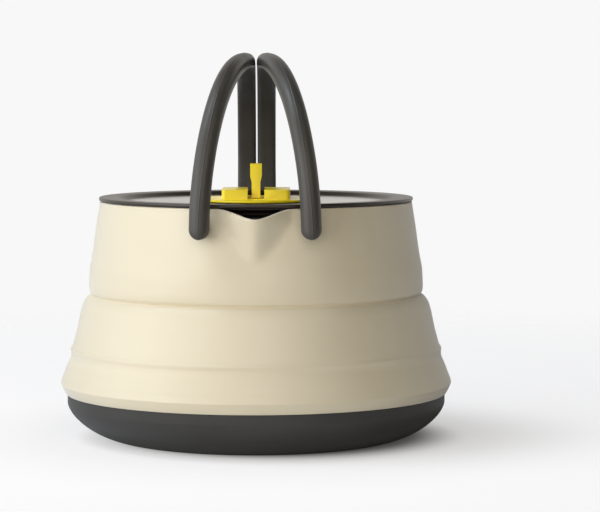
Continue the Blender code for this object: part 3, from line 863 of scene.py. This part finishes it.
lid_slope = spread(lid_slope_shares, (lid_floor_edge, lid_floor_z), (lid_land_radius, lid_land_z))
lid_top = [(lid_centre_radius, lid_floor_z)] + flowing(lid_slope, curve_steps)
lid_outline = [
    (lid_radius, lid_top_z),
    (lid_radius, lid_base_z),
    (lid_root_radius, lid_base_z),
    (lid_root_radius, lid_base_z - lid_root),
    (lid_skirt_radius, lid_base_z - lid_root),
    (lid_skirt_radius, lid_skirt_foot_z + lid_toe_height),
    (lid_skirt_radius + lid_toe, lid_skirt_foot_z + lid_toe_height),
    (lid_skirt_radius + lid_toe, lid_skirt_foot_z),
    (lid_skirt_radius - lid_skirt_wall, lid_skirt_foot_z),
    (lid_skirt_radius - lid_skirt_wall, lid_under_z),
    (lid_centre_radius, lid_under_z),
]
first_edge = len(lid_top)
lid_outline = round_corners(lid_top + lid_outline, lid_edge_round, [first_edge, first_edge + 1])
lid = turn_outline("lid_dish", lid_outline, lid_sides)
bpy.ops.object.shade_smooth_by_angle(angle=math.radians(lid_smooth_degrees))
smoke, smoke_shader = dress(lid, "smoke_tinted_plastic", smoke_main, lid_roughness)
wiped = smoke.noise(wiped_per_metre, wiped_detail)
swirl = smoke.noise(swirl_per_metre, swirl_detail)
flattened = {0: smoke.place(), 1: level_only}
across = smoke.add("ShaderNodeVectorMath", {"operation": "MULTIPLY"}, flattened)
from_axis = smoke.distance(across)
in_dish = smoke.between(from_axis, lid_floor_edge, lid_floor_edge + lid_edge_round, 1, 0)
wiped_share = smoke.between(wiped, noise_low, noise_high)
smoke_colour = smoke.blend(wiped_share, smoke_dark, smoke_light)
wiped_roughness = smoke.between(
    wiped, noise_low, wiped_high, lid_roughness_low, lid_roughness_high
)
smoke.feed(smoke_shader.inputs["Base Color"], smoke_colour)
smoke.feed(smoke_shader.inputs["Roughness"], wiped_roughness - dish_polish * in_dish)
smoke.feed(smoke_shader.inputs["Normal"], smoke.bump(swirl, swirl_strength, swirl_depth))
smoke.feed(smoke_shader.inputs["Coat Weight"], in_dish)
smoke_shader.inputs["Coat Roughness"].default_value = 0.26
smoke_shader.inputs["Coat IOR"].default_value = 1.7
smoke_shader.inputs["IOR"].default_value = 1.58
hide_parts("lid_panel")
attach(lid, "lid")

# Lid seal. A moulded ring of soft dark silicone, stretched round the lid's skirt. Its two thin fins
# press on the collar inside the rim.

seal_colour = (0.010, 0.007, 0.004, 1)
seal_roughness = 0.6
seal_roughness_low = 0.55
seal_roughness_high = 0.68
dust_per_metre = 2400
dust_strength = 0.3
dust_depth = 0.00003

seal, seal_shader = dress(
    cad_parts["lid_seal"], "dark_silicone", seal_colour, seal_roughness
)
seal_shader.inputs["Specular IOR Level"].default_value = 0.2
dust = seal.noise(dust_per_metre)
dust_roughness = seal.between(
    dust, noise_low, noise_high, seal_roughness_low, seal_roughness_high
)
seal.feed(seal_shader.inputs["Roughness"], dust_roughness)
seal.feed(seal_shader.inputs["Normal"], seal.bump(dust, dust_strength, dust_depth))

# Knob. A yellow disc with a square boss, moulded in one piece and held from below by two screws. A
# slot runs through the boss from front to back and takes the finger tab.

knob_radius = 0.0235
knob_disc_z = 0.0944
knob_top_z = 0.0953
boss_half = 0.0135
boss_corner = 0.0016
boss_corner_steps = 6
boss_top_z = 0.0991
slot_width = 0.0066
slot_length = 0.0297
slot_floor_z = 0.0955
knob_round = 0.0003
knob_edge_round = 0.00024
knob_edge_steps = 2
knob_sides = 128
sharp_degrees = 50
knob_smooth_degrees = 35
yellow_main = (0.98, 0.75, 0.012, 1)
yellow_deep = (0.97, 0.735, 0.010, 1)
yellow_light = (0.99, 0.765, 0.014, 1)
yellow_roughness = 0.32
yellow_roughness_low = 0.28
yellow_roughness_high = 0.36
yellow_cloud_per_metre = 90
yellow_grain_per_metre = 3600
yellow_grain_strength = 0.25
yellow_grain_depth = 0.00002

knob_outline = [
    (knob_radius / 2, knob_disc_z),
    (knob_radius, knob_disc_z),
    (knob_radius, knob_top_z),
    (knob_radius / 2, knob_top_z),
]
knob_outline = round_corners(knob_outline, knob_round, [1, 2])
knob = turn_outline("knob_disc_and_boss", knob_outline, knob_sides)


def add_block(name, bottom, top, width, depth):
    """A plain block on the kettle's axis, between two heights."""
    bpy.ops.object.select_all(action="DESELECT")
    bpy.ops.mesh.primitive_cube_add(size=1, location=(0, 0, (bottom + top) / 2))
    bpy.ops.transform.resize(value=(width, depth, top - bottom))
    bpy.ops.object.transform_apply(location=True, rotation=True, scale=True)
    bpy.context.object.name = name
    return bpy.context.object


def work_in(piece, block, operation):
    """Joins a block to a piece, or cuts it out, and throws the block away."""
    bpy.context.view_layer.objects.active = piece
    change = piece.modifiers.new(block.name, "BOOLEAN")
    change.operation = operation
    change.solver = "EXACT"
    change.object = block
    bpy.ops.object.modifier_apply(modifier=change.name)
    bpy.data.objects.remove(block, do_unlink=True)


def round_edges(piece, width, steps):
    """Rounds a piece's sharp edges and smooths the rest."""
    bpy.ops.object.select_all(action="DESELECT")
    piece.select_set(True)
    bpy.context.view_layer.objects.active = piece
    edging = piece.modifiers.new("edges", "BEVEL")
    edging.width = width
    edging.segments = steps
    edging.limit_method = "ANGLE"
    edging.angle_limit = math.radians(sharp_degrees)
    bpy.ops.object.modifier_apply(modifier="edges")
    bpy.ops.object.shade_smooth_by_angle(angle=math.radians(knob_smooth_degrees))


def yellow_plastic(piece):
    """Finish of the knob and its tab: bright yellow plastic with a fine moulded grain."""
    name = "yellow_plastic_" + piece.name
    yellow, shader = dress(piece, name, yellow_main, yellow_roughness)
    cloud = yellow.noise(yellow_cloud_per_metre)
    grain = yellow.noise(yellow_grain_per_metre)
    cloud_share = yellow.between(cloud, noise_low, noise_high)
    cloud_roughness = yellow.between(
        cloud, noise_low, noise_high, yellow_roughness_low, yellow_roughness_high
    )
    skin = yellow.bump(grain, yellow_grain_strength, yellow_grain_depth)
    colour = yellow.blend(cloud_share, yellow_deep, yellow_light)
    yellow.feed(shader.inputs["Base Color"], colour)
    yellow.feed(shader.inputs["Roughness"], cloud_roughness)
    yellow.feed(shader.inputs["Normal"], skin)
    shader.inputs["Specular IOR Level"].default_value = 0.4


boss_foot_z = (knob_disc_z + knob_top_z) / 2
boss = add_block("boss", boss_foot_z, boss_top_z, 2 * boss_half, 2 * boss_half)
bpy.ops.object.mode_set(mode="EDIT")
bpy.ops.mesh.select_mode(type="EDGE")
bpy.ops.mesh.select_all(action="DESELECT")
boss_mesh = bmesh.from_edit_mesh(boss.data)
for edge in boss_mesh.edges:
    first, second = edge.verts
    edge.select = abs(first.co.z - second.co.z) > boss_corner
bmesh.update_edit_mesh(boss.data)
bpy.ops.mesh.bevel(offset=boss_corner, segments=boss_corner_steps)
bpy.ops.mesh.select_mode(type="VERT")
bpy.ops.object.mode_set(mode="OBJECT")
work_in(knob, boss, "UNION")
slot_top_z = boss_top_z + knob_round
slot = add_block("slot", slot_floor_z, slot_top_z, slot_width, slot_length)
work_in(knob, slot, "DIFFERENCE")
round_edges(knob, knob_edge_round, knob_edge_steps)
yellow_plastic(knob)
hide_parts("knob_base")
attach(knob, "lid")

# Tab hinge pin. A length of blackened steel wire, drawn smooth and cut off. It is pressed through
# both halves of the boss, and the tab turns on it.

pin_colour = (0.03, 0.03, 0.03, 1)
pin_roughness = 0.4
pin_roughness_low = 0.34
pin_roughness_high = 0.48
drawn_per_metre = 1200
drawn_stretch = (1, 5, 5)

pin, pin_shader = dress(
    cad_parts["tab_hinge_pin"],
    "black_steel",
    pin_colour,
    pin_roughness,
    metallic=1,
)
drawn = pin.noise(drawn_per_metre, stretch=drawn_stretch)
drawn_roughness = pin.between(
    drawn, noise_low, noise_high, pin_roughness_low, pin_roughness_high
)
pin.feed(pin_shader.inputs["Roughness"], drawn_roughness)

# Finger tab. A thin lever moulded in the knob's yellow plastic. It stands in the slot on its pin,
# folds back into it, and has a thicker grip along its top.

tab_pivot_z = 0.0974
tab_thickness = 0.0034
tab_grip_thickness = 0.0046
tab_hub = 0.0016
tab_rise = 0.0117
tab_depth = 0.0098
tab_lean = 0.0030
tab_grip_height = 0.0046
tab_grip_blend = 0.0030
tab_round = 0.0005
tab_round_steps = 3
tab_heel_steps = 8
tab_neck_steps = 6


def tab_level(height, thickness, back):
    """One level of the tab: its middle, its thickness and its depth."""
    front = tab_hub - tab_depth + tab_lean * height / tab_rise
    return height, thickness, (front + back) / 2, back - front


tab_levels = []
for step in range(tab_heel_steps + 1):
    angle = math.pi / 2 * step / tab_heel_steps
    heel_height, heel_back = -tab_hub * math.cos(angle), tab_hub * math.sin(angle)
    tab_levels.append(tab_level(heel_height, tab_thickness, heel_back))
grip_start = tab_rise - tab_grip_height
for step in range(tab_neck_steps + 1):
    share = step / tab_neck_steps
    eased = share * share * (3 - 2 * share)
    thickness = tab_thickness + eased * (tab_grip_thickness - tab_thickness)
    neck_height = grip_start - tab_grip_blend * (1 - share)
    tab_levels.append(tab_level(neck_height, thickness, tab_hub))
tab_levels.append(tab_level(tab_rise, tab_grip_thickness, tab_hub))
bpy.ops.object.select_all(action="DESELECT")
bpy.ops.mesh.primitive_plane_add(size=1, enter_editmode=True)
last_stand = Matrix.Identity(4)
for index, (height, thickness, middle, depth) in enumerate(tab_levels):
    if index:
        bpy.ops.mesh.extrude_region_move()
    level_size = Matrix.Diagonal((thickness, depth, 1, 1))
    level_stand = Matrix.Translation((0, middle, tab_pivot_z + height)) @ level_size
    carry(level_stand @ last_stand.inverted())
    last_stand = level_stand
tab = close_mesh("tab_lever")
round_edges(tab, tab_round, tab_round_steps)
yellow_plastic(tab)
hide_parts("finger_tab")
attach(tab, "tab")
